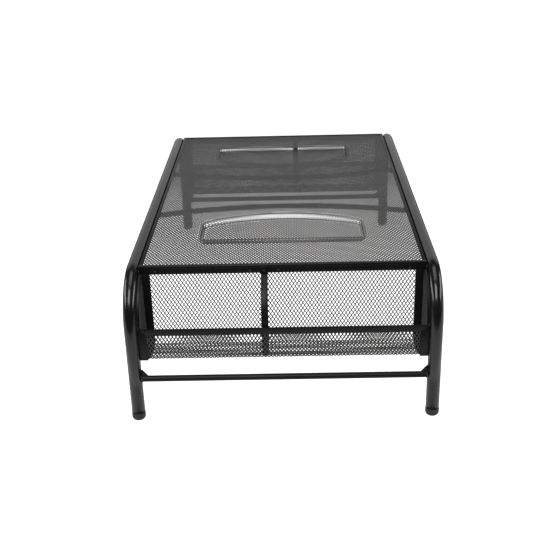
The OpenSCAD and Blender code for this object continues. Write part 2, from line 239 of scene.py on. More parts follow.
def coated_steel(name, colour, worn_colour, gloss, ripple, ripple_height,
                 worn=True, drift=40 * MM, shine=0.5):
    """Black powder coat over steel. gloss is the roughness where it lies smooth and where it is dull."""
    material = bpy.data.materials.new(name)
    material.use_nodes = True
    tree = material.node_tree
    tree.nodes.clear()
    link = tree.links.new
    surface = add(tree, "ShaderNodeBsdfPrincipled", IOR=1.5, Specular_IOR_Level=shine)
    output = add(tree, "ShaderNodeOutputMaterial")
    peel = add(tree, "ShaderNodeGroup", node_tree=ORANGE_PEEL)
    peel.inputs["Ripple"].default_value = ripple
    peel.inputs["Drift"].default_value = drift
    shade = add(tree, "ShaderNodeMix", data_type="RGBA")
    shade.inputs["A"].default_value = (*[0.75 * value for value in colour], 1)
    shade.inputs["B"].default_value = (*[1.3 * value for value in colour], 1)
    specked = add(tree, "ShaderNodeMix", data_type="RGBA", blend_type="ADD")
    specked.inputs["B"].default_value = (0.012, 0.012, 0.013, 1)
    dullness = add(tree, "ShaderNodeMapRange", From_Min=0.3, From_Max=0.7,
                   To_Min=gloss[0], To_Max=gloss[1])
    bump = add(tree, "ShaderNodeBump", Strength=1.0, Distance=ripple_height)
    link(peel.outputs["Drifting"], shade.inputs["Factor"])
    link(peel.outputs["Speckle"], specked.inputs["Factor"])
    link(shade.outputs["Result"], specked.inputs["A"])
    link(peel.outputs["Drifting"], dullness.inputs["Value"])
    link(peel.outputs["Height"], bump.inputs["Height"])
    link(bump.outputs["Normal"], surface.inputs["Normal"])
    link(dullness.outputs["Result"], surface.inputs["Roughness"])
    coat = specked
    if worn:
        rubbed = add(tree, "ShaderNodeGroup", node_tree=RUBBED_EDGE)
        coat = add(tree, "ShaderNodeMix", data_type="RGBA")
        coat.inputs["B"].default_value = (*worn_colour, 1)
        link(rubbed.outputs["Mask"], coat.inputs["Factor"])
        link(specked.outputs["Result"], coat.inputs["A"])
    link(coat.outputs["Result"], surface.inputs["Base Color"])
    link(surface.outputs["BSDF"], output.inputs["Surface"])
    return material


tube_coat = coated_steel(
    "tube_coat", colour=(0.007, 0.007, 0.0068), worn_colour=(0.05, 0.048, 0.045), gloss=(0.17, 0.27),
    ripple=1.3 * MM, ripple_height=0.012 * MM)

for side, word in ((FRONT, "front"), (REAR, "rear")):
    y = side * tube_y
    straight = 2 * (leg_x - BEND_RADIUS)
    bm = bmesh.new()
    end = ring_of(bm, tube_r, TUBE_SIDES, (-leg_x, y, tube_low.z))
    end = pull(bm, end, (0, 0, bend_z - tube_low.z))
    end = turn(bm, end, (BEND_RADIUS - leg_x, y, bend_z), (0, 1, 0), math.pi / 2, BEND_STEPS)
    end = pull(bm, end, (straight, 0, 0))
    end = turn(bm, end, (leg_x - BEND_RADIUS, y, bend_z), (0, 1, 0), math.pi / 2, BEND_STEPS)
    pull(bm, end, (0, 0, tube_low.z - bend_z))
    tube = finished(f"tube_{word}", bm, tube_coat)
    thicken(tube, TUBE_WALL, offset=-1.0)
    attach(tube, "root")
    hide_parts(f"{word}_tube")


# ---- Foot caps ----------------------------------------------------------------------------------
# Moulded black plastic caps that push into the tube ends and keep the steel off the desk.
# Each has a round lower edge, a slight hollow underneath and a plug inside the tube.

CAP_ROUND = 3.4 * MM
CAP_ROUND_STEPS = 6
CAP_LINE = 0.25 * MM      # bevel at the top of the cap, where it meets the tube
CAP_HOLLOW = 0.6 * MM     # depth of the hollow underneath, at its middle
PLUG_GAP = 0.1 * MM
PLUG_BEVEL = 1.0 * MM
CAP_SPIN_STEPS = 48

cap_plastic = coated_steel(
    "foot_plastic", colour=(0.010, 0.010, 0.010), worn_colour=(0.03, 0.03, 0.03), gloss=(0.48, 0.6),
    ripple=0.7 * MM, ripple_height=0.03 * MM, drift=12 * MM)

for side, side_word in ((FRONT, "front"), (REAR, "rear")):
    for end, end_word in ((LEFT, "left"), (RIGHT, "right")):
        node = f"foot_cap_{side_word}_{end_word}"
        low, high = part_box(node)
        cap_r = (high.x - low.x) / 2
        axis = Vector(((low.x + high.x) / 2, (low.y + high.y) / 2, 0))
        head = tube_low.z
        plug_r = tube_r - TUBE_WALL - PLUG_GAP
        arc = [Vector((cap_r - CAP_ROUND * (1 - math.sin(a)), 0, CAP_ROUND * (1 - math.cos(a))))
               for a in (math.pi / 2 * step / CAP_ROUND_STEPS for step in range(CAP_ROUND_STEPS + 1))]
        outline = [Vector((0, 0, CAP_HOLLOW)), Vector((cap_r * 0.3, 0, CAP_HOLLOW - 0.1 * MM)),
                   Vector((cap_r * 0.36, 0, 0)), *arc,
                   Vector((cap_r, 0, head - CAP_LINE)), Vector((cap_r - CAP_LINE, 0, head)),
                   Vector((plug_r, 0, head)), Vector((plug_r, 0, high.z - PLUG_BEVEL)),
                   Vector((plug_r - PLUG_BEVEL, 0, high.z)), Vector((0, 0, high.z))]
        bm = bmesh.new()
        verts = [bm.verts.new(axis + point) for point in outline]
        edges = [bm.edges.new(pair) for pair in zip(verts, verts[1:])]
        bmesh.ops.spin(bm, geom=verts + edges, cent=axis, axis=(0, 0, 1), angle=2 * math.pi,
                       steps=CAP_SPIN_STEPS, use_merge=True)
        bmesh.ops.remove_doubles(bm, verts=bm.verts, dist=HAIR)
        cap = finished(f"cap_{side_word}_{end_word}", bm, cap_plastic, crease=40)
        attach(cap, "root")
        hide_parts(node)


# ---- Lower rails and gussets --------------------------------------------------------------------
# A round bar joins the two legs of each end below the pocket. A small triangular plate stands on
# each end of it, and the joint is closed with a weld bead that went under the powder coat.

RAIL_SIDES = 28
RAIL_SEAT = 0.6 * MM      # how far a rail's end goes into the leg
BEAD_RIPPLES = 11
BEAD_RADIUS = 0.8 * MM
GUSSET_TUCK = 0.4 * MM    # how far a gusset goes into the leg
GUSSET_SINK = 0.3 * MM    # and into the rail
GUSSET_TIP = 0.8 * MM     # width of its blunted top
GUSSET_EDGE = 0.25 * MM

# Painted shade: the same black powder coat as the tubes, set darker and much less shiny, so that the bars
# and gussets look shaded.
rod_coat = coated_steel(
    "rod_coat", colour=(0.005, 0.005, 0.0048), worn_colour=(0.035, 0.033, 0.031), gloss=(0.3, 0.42),
    ripple=1.0 * MM, ripple_height=0.012 * MM, shine=0.22)
weld_coat = coated_steel(
    "weld_coat", colour=(0.016, 0.016, 0.016), worn_colour=(0.05, 0.05, 0.05), gloss=(0.3, 0.46),
    ripple=0.8 * MM, ripple_height=0.05 * MM, worn=False)


def join(bm, other):
    """Adds another bmesh to this one and frees it."""
    carrier = bpy.data.meshes.new("carrier")
    other.to_mesh(carrier)
    other.free()
    bm.from_mesh(carrier)
    bpy.data.meshes.remove(carrier)


def bead(bm, place, axis_turn, ring_r):
    """A weld bead round a bar: a ring with the ripples that the torch leaves."""
    made = bmesh.new()
    ring_of(made, BEAD_RADIUS, 10, (ring_r, 0, 0), Matrix.Rotation(math.pi / 2, 4, "X"))
    bmesh.ops.spin(made, geom=made.verts[:] + made.edges[:], cent=(0, 0, 0), axis=(0, 0, 1),
                   angle=2 * math.pi, steps=5 * BEAD_RIPPLES, use_merge=True)
    bmesh.ops.remove_doubles(made, verts=made.verts, dist=HAIR)
    for vert in made.verts:
        around = math.atan2(vert.co.y, vert.co.x)
        swell = 1 + 0.12 * math.cos(BEAD_RIPPLES * around)
        middle = Vector((math.cos(around), math.sin(around), 0)) * ring_r
        vert.co = middle + (vert.co - middle) * swell
    made.transform(Matrix.Translation(place) @ axis_turn)
    join(bm, made)


rail_beads = bmesh.new()
for end, end_word in ((LEFT, "left"), (RIGHT, "right")):
    low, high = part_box(f"lower_rail_{end_word}")
    rail_r = (high.z - low.z) / 2
    rail_z = (high.z + low.z) / 2
    rail_half = flank_y + RAIL_SEAT
    bm = bmesh.new()
    ring = ring_of(bm, rail_r, RAIL_SIDES, (end * leg_x, -rail_half, rail_z),
                   Matrix.Rotation(math.pi / 2, 4, "X"))
    bmesh.ops.edgenet_fill(bm, edges=ring)
    far_ring = pull(bm, ring, (0, 2 * rail_half, 0))
    bmesh.ops.edgenet_fill(bm, edges=far_ring)
    rail = finished(f"rail_{end_word}", bm, rod_coat)
    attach(rail, "root")
    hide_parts(f"lower_rail_{end_word}")
    for side, side_word in ((FRONT, "front"), (REAR, "rear")):
        bead(rail_beads, (end * leg_x, side * flank_y, rail_z), Matrix.Rotation(math.pi / 2, 4, "X"), rail_r)
        node = f"gusset_{side_word}_{end_word}"
        low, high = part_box(node)
        inner_y = low.y if side == REAR else high.y
        wall_y = side * (flank_y + GUSSET_TUCK)
        foot = rail_z + rail_r - GUSSET_SINK
        tip_y = side * (flank_y - GUSSET_TIP)
        bm = bmesh.new()
        corners = [bm.verts.new((low.x, *corner)) for corner in
                   ((inner_y, foot), (wall_y, foot), (wall_y, high.z), (tip_y, high.z))]
        plate = bm.faces.new(corners)
        grown = bmesh.ops.extrude_face_region(bm, geom=[plate])["geom"]
        bmesh.ops.translate(bm, verts=only(bmesh.types.BMVert, grown), vec=(high.x - low.x, 0, 0))
        bmesh.ops.bevel(bm, geom=bm.edges[:], offset=GUSSET_EDGE, segments=2, profile=0.5,
                        affect="EDGES", material=-1)
        gusset = finished(f"brace_{side_word}_{end_word}", bm, rod_coat)
        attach(gusset, "root")
        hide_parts(node)

beads = finished("beads_rail", rail_beads, weld_coat, crease=80)
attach(beads, "root")
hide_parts("rail_welds")


# ---- Deck mesh with its pressed trays -----------------------------------------------------------
# The deck is one sheet of expanded steel: slit and drawn out so that it opens into rows of small
# diamonds, with strands that stand slightly on edge. Two shallow trays are pressed into it.

CELL_LONG = 5.7 * MM
CELL_SHORT = 3.4 * MM
STRAND_HALF = 0.33 * MM
STRAND_TWIST = 0.04 * MM     # how far a strand's edges lie above and below the sheet's middle
STRAND_THICK = 0.95 * MM
TRAY_BOW = 22 * MM
TRAY_SETBACK = 59 * MM       # from the deck's end to a tray's straight side
TRAY_SHIFT = 7 * MM
TRAY_CORNER = 4 * MM
TRAY_DRAFT = 0.5 * MM        # how far the foot of a tray's wall lies inside its top
CROWN_SLOPE = 4.3 * MM       # and the same on the bowed side, which slopes
TRAY_LENGTH = 70 * MM
TRAY_WIDTH = 164 * MM
RIM_POINTS = 720
SHEET_MARGIN = 0.9 * MM      # between the sheet's cut edge and the outside of the deck

# Painted light: the mesh wears the same black powder coat as the tubes, but its colour is set several times
# lighter, so that the strands show the brightness of the light they catch.
mesh_coat = coated_steel(
    "mesh_coat", colour=(0.055, 0.055, 0.0535), worn_colour=(0.05, 0.05, 0.05), gloss=(0.32, 0.46),
    ripple=0.9 * MM, ripple_height=0.012 * MM, worn=False, drift=60 * MM)


def diamonds(low_long, high_long, low_short, high_short, cell_short=CELL_SHORT):
    """A flat sheet of whole diamonds, long way along X, trimmed to a rectangle."""
    span = (high_long - low_long) / CELL_LONG + (high_short - low_short) / cell_short
    count = 2 * int(span / 2) + 4
    bm = bmesh.new()
    bmesh.ops.create_grid(bm, x_segments=count, y_segments=count, size=count / 2)
    shape = (
        Matrix.Translation(((low_long + high_long) / 2, (low_short + high_short) / 2, 0))
        @ Matrix.Diagonal((CELL_LONG / math.sqrt(2), cell_short / math.sqrt(2), 1, 1))
        @ Matrix.Rotation(math.pi / 4, 4, "Z")
    )
    bm.transform(shape)
    stray = []
    for face in bm.faces:
        middle = face.calc_center_median()
        inside_long = low_long - CELL_LONG < middle.x < high_long + CELL_LONG
        if not (inside_long and low_short - cell_short < middle.y < high_short + cell_short):
            stray.append(face)
    bmesh.ops.delete(bm, geom=stray, context="FACES")
    return bm


def trim(bm, *cuts):
    """Cuts a sheet along lines, each given as a point on it and the direction of the waste."""
    for point, waste in cuts:
        bmesh.ops.bisect_plane(bm, geom=bm.verts[:] + bm.edges[:] + bm.faces[:], dist=HAIR,
                               plane_co=point, plane_no=waste, clear_outer=True)


def trim_box(bm, low_long, high_long, low_short, high_short):
    trim(bm, ((low_long, 0, 0), (-1, 0, 0)), ((high_long, 0, 0), (1, 0, 0)),
         ((0, low_short, 0), (0, -1, 0)), ((0, high_short, 0), (0, 1, 0)))


def open_cells(bm):
    """Opens every cell of a flat sheet, which leaves twisted strands along the cells' edges."""
    cells = bm.faces[:]
    bmesh.ops.inset_individual(bm, faces=cells, thickness=STRAND_HALF, use_even_offset=True)
    for cell in cells:
        middle = cell.calc_center_median()
        for vert in cell.verts:
            vert.co.z += STRAND_TWIST * 2 * (vert.co.y - middle.y) / CELL_SHORT
    bmesh.ops.delete(bm, geom=cells, context="FACES_ONLY")


deck_low, deck_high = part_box("deck_mesh")
mesh_thick = 1.0 * MM
deck_mid_z = deck_high.z - mesh_thick / 2
tray_mid_z = deck_low.z + mesh_thick / 2
deck_half = -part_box("deck_hem_left")[0].x
tray_round = (TRAY_WIDTH ** 2 / 4 + TRAY_BOW ** 2) / (2 * TRAY_BOW)


def into_tray(end, x, y, draft=0.0, slope=0.0):
    """How far a point lies inside a tray's outline, and the direction straight in from the nearest side.
    draft moves the outline's straight sides inwards and slope its bowed side."""
    u = end * (end * (deck_half - TRAY_SETBACK) + TRAY_SHIFT - x)
    from_centre = Vector((u - TRAY_LENGTH + tray_round, y))
    sides = (
        (u - draft, Vector((1, 0))),
        (TRAY_WIDTH / 2 - draft - abs(y), Vector((0, -math.copysign(1, y)))),
        (tray_round - slope - from_centre.length, -from_centre.normalized()),
    )
    push = Vector((0, 0))
    for depth, inward in sides:
        push += max(TRAY_CORNER - depth, 0) * inward
    shortfall = math.sqrt(sum(max(TRAY_CORNER - depth, 0) ** 2 for depth, inward in sides))
    if shortfall == 0:
        return min(depth for depth, inward in sides), Vector((0, 0))
    inward = push.normalized()
    return TRAY_CORNER - shortfall, Vector((-end * inward.x, inward.y))


def snap_to_tray(bm, end, *drafts):
    """Moves the loose edge of a sheet onto a tray's outline."""
    for vert in {vert for edge in bm.edges if edge.is_boundary for vert in edge.verts}:
        depth, inward = into_tray(end, vert.co.x, vert.co.y, *drafts)
        if abs(depth) < CELL_LONG:
            vert.co += Vector((*(-depth * inward), 0))


def tray_rim(end, *drafts):
    """Points round a tray's outline, one on each of the rays from its middle."""
    centre_x = end * (deck_half - TRAY_SETBACK) + TRAY_SHIFT - end * TRAY_LENGTH / 2
    points = []
    for step in range(RIM_POINTS + 1):
        angle = 2 * math.pi * step / RIM_POINTS
        ray = Vector((math.cos(angle), math.sin(angle)))
        near, far = 0.0, TRAY_WIDTH
        for _ in range(30):
            middle = (near + far) / 2
            if into_tray(end, centre_x + ray.x * middle, ray.y * middle, *drafts)[0] > 0:
                near = middle
            else:
                far = middle
        points.append(Vector((centre_x, 0)) + near * ray)
    return points


def tray_wall(end):
    """A strip of the same mesh wrapped round a tray, from the deck down to the tray's floor."""
    rim = tray_rim(end)
    foot = tray_rim(end, TRAY_DRAFT, CROWN_SLOPE)
    along = [0.0]
    for last, point in zip(rim, rim[1:]):
        along.append(along[-1] + (point - last).length)
    height = CELL_LONG
    drop = deck_mid_z - tray_mid_z
    cell = along[-1] / round(along[-1] / CELL_SHORT)
    bm = diamonds(0, height, 0, along[-1], cell)
    outside = [face for face in bm.faces
               if not 0 <= face.calc_center_median().y + 0.01 * MM < along[-1]]
    bmesh.ops.delete(bm, geom=outside, context="FACES")
    trim(bm, ((0, 0, 0), (-1, 0, 0)), ((height, 0, 0), (1, 0, 0)))
    open_cells(bm)
    for vert in bm.verts:
        place = vert.co.y % along[-1]
        low, high = 0, RIM_POINTS
        while high - low > 1:
            middle = (low + high) // 2
            if along[middle] <= place:
                low = middle
            else:
                high = middle
        share = (place - along[low]) / (along[high] - along[low])
        top = rim[low].lerp(rim[high], share)
        bottom = foot[low].lerp(foot[high], share)
        down = vert.co.x / height
        vert.co = Vector((*(top.lerp(bottom, down)), deck_mid_z - drop * down))
    bmesh.ops.remove_doubles(bm, verts=bm.verts, dist=0.005 * MM)
    return bm


half_x = deck_half - SHEET_MARGIN
half_y = flank_y - SHEET_MARGIN
for end, end_word in ((LEFT, "left"), (RIGHT, "right")):
    sheet = diamonds(-half_x, half_x, -half_y, half_y)
    far_half = [face for face in sheet.faces if end * face.calc_center_median().x < 0.01 * MM * end]
    bmesh.ops.delete(sheet, geom=far_half, context="FACES")
    pan = sheet.copy()
    pressed = [face for face in sheet.faces if into_tray(end, *face.calc_center_median().xy)[0] > 0]
    bmesh.ops.delete(sheet, geom=pressed, context="FACES")
    snap_to_tray(sheet, end)
    trim_box(sheet, -half_x, half_x, -half_y, half_y)
    open_cells(sheet)
    bmesh.ops.translate(sheet, verts=sheet.verts, vec=(0, 0, deck_mid_z))
    flat = [face for face in pan.faces
            if into_tray(end, *face.calc_center_median().xy, TRAY_DRAFT, CROWN_SLOPE)[0] <= 0]
    bmesh.ops.delete(pan, geom=flat, context="FACES")
    snap_to_tray(pan, end, TRAY_DRAFT, CROWN_SLOPE)
    open_cells(pan)
    bmesh.ops.translate(pan, verts=pan.verts, vec=(0, 0, tray_mid_z))
    join(sheet, pan)
    join(sheet, tray_wall(end))
    deck = finished(f"deck_{end_word}", sheet, mesh_coat, tidy=False)
    thicken(deck, STRAND_THICK, even=False)
    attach(deck, "root")
    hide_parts("deck_mesh")


# ---- Deck hems ----------------------------------------------------------------------------------
# Strips of sheet steel folded over the raw edges of the mesh. The long ones run down the flank of
# the tubes and are welded to them; the end ones turn down in a short face.

HEM_THICK = 0.8 * MM
FOLD_ROUND = 0.9 * MM
HEM_EDGE = 0.15 * MM

# Painted shade: the same black powder coat as the tubes, set darker and much less shiny, so that the hems,
# rims, strips and edges in and around the pockets look shaded.
trim_coat = coated_steel(
    "trim_coat", colour=(0.005, 0.005, 0.0048), worn_colour=(0.03, 0.029, 0.027), gloss=(0.34, 0.46),
    ripple=1.1 * MM, ripple_height=0.012 * MM, shine=0.24)


def folded_strip(points, run, fold=FOLD_ROUND):
    """A strip of sheet along a run, with a cross-section through the points and its corners rounded."""
    bm = bmesh.new()
    verts = [bm.verts.new(point) for point in points]
    edges = [bm.edges.new(pair) for pair in zip(verts, verts[1:])]
    if len(points) > 2:
        bmesh.ops.bevel(bm, geom=verts[1:-1], offset=fold, segments=4, profile=0.5, affect="VERTICES",
                        material=-1)
    pull(bm, bm.edges[:], run)
    return bm


half_hem = HEM_THICK / 2
for end, end_word in ((LEFT, "left"), (RIGHT, "right")):
    node = f"deck_hem_{end_word}"
    low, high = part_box(node)
    outer, inner = (low.x + half_hem, high.x) if end == LEFT else (high.x - half_hem, low.x)
    top = high.z - half_hem
    bm = folded_strip([(inner, low.y, top), (outer, low.y, top), (outer, low.y, low.z)],
                      (0, high.y - low.y, 0))
    hem = finished(f"hem_deck_{end_word}", bm, trim_coat)
    thicken(hem, HEM_THICK)
    soften(hem, HEM_EDGE)
    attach(hem, "root")
    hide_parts(node)

for side, side_word in ((FRONT, "front"), (REAR, "rear")):
    node = f"deck_hem_{side_word}"
    low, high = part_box(node)
    outer, inner = (low.y + half_hem, high.y) if side == FRONT else (high.y - half_hem, low.y)
    top = high.z - half_hem
    bm = folded_strip([(low.x, inner, top), (low.x, outer, top), (low.x, outer, low.z)],
                      (high.x - low.x, 0, 0))
    hem = finished(f"hem_deck_{side_word}", bm, trim_coat)
    thicken(hem, HEM_THICK)
    soften(hem, HEM_EDGE)
    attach(hem, "root")
    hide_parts(node)


# ---- Support rods -------------------------------------------------------------------------------
# Two round bars run across under the deck, each bowed towards its middle, and carry the mesh.
# Their ends are welded to the side hems.

ROD_SETBACK = 184 * MM
ROD_BOW = 22 * MM
ROD_STEPS = 40
ROD_SIDES = 24

rod_beads = bmesh.new()
for end, end_word in ((LEFT, "left"), (RIGHT, "right")):
    node = f"support_rod_{end_word}"
    low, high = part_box(node)
    rod_r = (high.z - low.z) / 2
    rod_z = (high.z + low.z) / 2
    rod_half = high.y
    bow_r = (rod_half ** 2 + ROD_BOW ** 2) / (2 * ROD_BOW)
    swing = math.asin(rod_half / bow_r)
    centre = Vector((end * (half_length - ROD_SETBACK - ROD_BOW + bow_r), 0, rod_z))
    start = centre + Matrix.Rotation(-end * swing, 3, "Z") @ Vector((-end * bow_r, 0, 0))
    bm = bmesh.new()
    lie_along = Matrix.Rotation(-end * swing, 4, "Z") @ Matrix.Rotation(math.pi / 2, 4, "X")
    ring = ring_of(bm, rod_r, ROD_SIDES, start, lie_along)
    bmesh.ops.edgenet_fill(bm, edges=ring)
    last = turn(bm, ring, centre, (0, 0, 1), 2 * end * swing, ROD_STEPS)
    bmesh.ops.edgenet_fill(bm, edges=last)
    rod = finished(f"rod_{end_word}", bm, rod_coat)
    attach(rod, "root")
    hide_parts(node)
    for side in (FRONT, REAR):
        bead(rod_beads, (end * (half_length - ROD_SETBACK), side * rod_half, rod_z),
             Matrix.Rotation(math.pi / 2, 4, "X"), rod_r)

beads = finished("beads_rod", rod_beads, weld_coat, crease=80)
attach(beads, "root")
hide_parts("rod_welds")


# ---- Pocket baskets -----------------------------------------------------------------------------
# Each end pocket is one sheet of the same expanded mesh, folded into a back wall, a floor and a
# low front lip. Its long way runs up the walls.

FOLD_STEPS = 3
LIP_MESH_DROP = 1.2 * MM     # from the top of the lip down to the mesh's edge


def at_end(bm, end):
    """Moves a piece drawn at the left end, with X counted from the frame's end, to either end."""
    bmesh.ops.translate(bm, verts=bm.verts, vec=(-half_length, 0, 0))
    if end == RIGHT:
        bmesh.ops.rotate(bm, verts=bm.verts, cent=(0, 0, 0), matrix=Matrix.Rotation(math.pi, 3, "Z"))


FOLD_TURN = math.pi / 2 / FOLD_STEPS


def fold_step(radius):
    """The width of each flat facet of a right-angled fold round a radius."""
    return radius / sum(math.cos(FOLD_TURN * count) for count in range(1, FOLD_STEPS))


def fold_up(bm, line, way, radius):
    """Folds the part of a flat sheet past a line up by a right angle, in a few steps."""
    lines = [line + way * fold_step(radius) * count for count in range(FOLD_STEPS)]
    for at in lines:
        bmesh.ops.bisect_plane(bm, geom=bm.verts[:] + bm.edges[:] + bm.faces[:], dist=HAIR,
                               plane_co=(at, 0, 0), plane_no=(1, 0, 0))
    for at in reversed(lines):
        moving = [vert for vert in bm.verts if way * (vert.co.x - at) > 2 * HAIR]
        bmesh.ops.rotate(bm, verts=moving, cent=(at, 0, 0), matrix=Matrix.Rotation(-way * FOLD_TURN, 3, "Y"))


basket_low, basket_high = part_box("pocket_basket_left")
basket_front = basket_low.x + half_length + mesh_thick / 2
basket_back = basket_high.x + half_length - mesh_thick / 2
basket_floor = basket_low.z + mesh_thick / 2
basket_half_y = basket_high.y
lip_mesh_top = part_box("lip_rail_left")[1].z - LIP_MESH_DROP
fold_radius = 1.5 * MM
fold_length = (FOLD_STEPS - 1) * fold_step(fold_radius)
floor_mid = (basket_front + basket_back) / 2
flat_half = (basket_back - basket_front) / 2 - fold_radius
for end, end_word in ((LEFT, "left"), (RIGHT, "right")):
    node = f"pocket_basket_{end_word}"
    back_reach = flat_half + fold_length + basket_high.z - basket_floor - fold_radius
    lip_reach = flat_half + fold_length + lip_mesh_top - basket_floor - fold_radius
    bm = diamonds(-lip_reach, back_reach, -basket_half_y, basket_half_y)
    trim_box(bm, -lip_reach, back_reach, -basket_half_y, basket_half_y)
    open_cells(bm)
    fold_up(bm, flat_half, 1, fold_radius)
    fold_up(bm, -flat_half, -1, fold_radius)
    bmesh.ops.translate(bm, verts=bm.verts, vec=(floor_mid, 0, basket_floor))
    at_end(bm, end)
    basket = finished(f"basket_{end_word}", bm, mesh_coat, tidy=False)
    thicken(basket, STRAND_THICK, even=False)
    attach(basket, "root")
    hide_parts(node)


# ---- Basket side strips -------------------------------------------------------------------------
# A flat steel strip binds each side edge of the basket on its inside. It lies along the floor and
# turns up the back wall as far as the rim, and is spot welded through the mesh.

STRIP_THICK = 1.1 * MM
STRIP_FOLD = 1.2 * MM
STRIP_EDGE = 0.2 * MM

strip_low, strip_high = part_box("side_strip_rear_left")
front_x = strip_low.x + half_length
back_x = strip_high.x + half_length - STRIP_THICK / 2
floor_z = strip_low.z + STRIP_THICK / 2

for end, end_word in ((LEFT, "left"), (RIGHT, "right")):
    for side, side_word in ((FRONT, "front"), (REAR, "rear")):
        node = f"side_strip_{side_word}_{end_word}"
        drawn = side if end == LEFT else -side
        y = drawn * strip_low.y
        width = drawn * (strip_high.y - strip_low.y)
        bm = folded_strip([(front_x, y, floor_z), (back_x, y, floor_z), (back_x, y, strip_high.z)],
                          (0, width, 0), fold=STRIP_FOLD)
        at_end(bm, end)
        strip = finished(f"strip_{side_word}_{end_word}", bm, trim_coat)
        thicken(strip, STRIP_THICK)
        soften(strip, STRIP_EDGE)
        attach(strip, "root")
        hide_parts(node)


# ---- Pocket side walls and their hems -----------------------------------------------------------
# A panel of mesh closes each side of a pocket. Its curved edge follows the bend of the side tube
# and is gripped by a folded channel that runs from the lip up to the rim.

ARC_CUTS = 9
SIDE_HEM_WIDTH = 3.5 * MM
WALL_TUCK = 1.2 * MM        # how far a wall's edge lies inside its channel
CHANNEL_STEPS = 20
CHANNEL_EDGE = 0.5 * MM
CHANNEL_EXCESS = 0.06        # radians that the channel is bent too far before it is cut off
DECK_GAP = 0.1 * MM          # between the pocket's pieces and the line of the deck's end

deck_line = half_length - deck_half - DECK_GAP    # counted from the frame's end


def arc_cuts(radius):
    """Cuts along the arc of a bend, as tangents from level with its centre up to its top."""
    cuts = []
    for step in range(ARC_CUTS):
        angle = math.pi / 2 * step / (ARC_CUTS - 1)
        out = Vector((math.sin(angle), -math.cos(angle), 0))   # X is up and Y runs along the stand
        cuts.append((Vector((bend_z, bend_x, 0)) + radius * out, out))
    return cuts


def stand_up(bm, y):
    """Stands a flat sheet up: its long way becomes the height, its short way runs along the stand."""
    upright = Matrix(((0, 1, 0, 0), (0, 0, 1, 0), (1, 0, 0, 0), (0, 0, 0, 1)))
    bm.transform(Matrix.Translation((0, y, 0)) @ upright)


rim_low, rim_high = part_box("pocket_rim_left")
for end, end_word in ((LEFT, "left"), (RIGHT, "right")):
    for side, side_word in ((FRONT, "front"), (REAR, "rear")):
        drawn = side if end == LEFT else -side
        node = f"pocket_side_{side_word}_{end_word}"
        low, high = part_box(node)
        y = drawn * abs(low.y + high.y) / 2
        reach = (low.z, high.z, basket_front - mesh_thick / 2, basket_back + mesh_thick / 2)
        bm = diamonds(*reach)
        trim_box(bm, *reach)
        trim(bm, *arc_cuts(BEND_RADIUS - WALL_TUCK))
        open_cells(bm)
        stand_up(bm, y)
        at_end(bm, end)
        wall = finished(f"wall_{side_word}_{end_word}", bm, mesh_coat, tidy=False)
        thicken(wall, STRAND_THICK, even=False)
        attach(wall, "root")
        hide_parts(node)

        node = f"side_hem_{side_word}_{end_word}"
        low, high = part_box(node)
        y = drawn * abs(low.y + high.y) / 2
        half_t = (high.y - low.y) / 2
        reach_up = math.acos((bend_x - (half_length - deck_half)) / BEND_RADIUS)
        bm = bmesh.new()
        section = [bm.verts.new((x, y + dy, low.z)) for x, dy in
                   ((tube_r, -half_t), (tube_r, half_t),
                    (tube_r + SIDE_HEM_WIDTH, half_t), (tube_r + SIDE_HEM_WIDTH, -half_t))]
        start = bm.faces.new(section)
        bmesh.ops.spin(bm, geom=[start, *start.edges, *start.verts], cent=(bend_x, y, low.z),
                       axis=(0, 1, 0), angle=reach_up + CHANNEL_EXCESS, steps=CHANNEL_STEPS)
        trimmed = bmesh.ops.bisect_plane(
            bm, geom=bm.verts[:] + bm.edges[:] + bm.faces[:], dist=HAIR,
            plane_co=(deck_line, 0, 0), plane_no=(1, 0, 0), clear_outer=True)
        bmesh.ops.edgenet_fill(bm, edges=only(bmesh.types.BMEdge, trimmed["geom_cut"]))
        bmesh.ops.remove_doubles(bm, verts=bm.verts, dist=HAIR)
        at_end(bm, end)
        channel = finished(f"channel_{side_word}_{end_word}", bm, trim_coat, crease=30)
        soften(channel, CHANNEL_EDGE, segments=3)
        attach(channel, "root")
        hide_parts(node)


# ---- Pocket rim, lip rail and flanges -----------------------------------------------------------
# Flat bars frame the pocket: one along the top of the back wall, one folded over the edge of the
# lip, and an upright flange at each end of the lip, mitred to it and welded to the leg.

TRIM_THICK = 1.1 * MM
FLANGE_WIDTH = 7.6 * MM
PLATE_EDGE = 0.25 * MM
LIP_FOLD_THICK = 0.6 * MM
LIP_FOLD_TOP = 0.35 * MM     # from the top of the lip down to the middle of the folded sheet
LIP_FOLD_REACH = 2.2 * MM    # from the lip's face back to the fold's far side
LIP_FOLD_DROP = 4.0 * MM
LIP_FOLD_ROUND = 0.3 * MM
MITRE_GAP = 0.2 * MM


def plate(points, thickness):
    """A flat plate: an outline in Y and Z at one X, grown along +X, with its edges broken."""
    bm = bmesh.new()
    face = bm.faces.new([bm.verts.new(point) for point in points])
    grown = bmesh.ops.extrude_face_region(bm, geom=[face])["geom"]
    bmesh.ops.translate(bm, verts=only(bmesh.types.BMVert, grown), vec=(thickness, 0, 0))
    bmesh.ops.bevel(bm, geom=bm.edges[:], offset=PLATE_EDGE, segments=2, profile=0.5,
                    affect="EDGES", material=-1)
    return bm


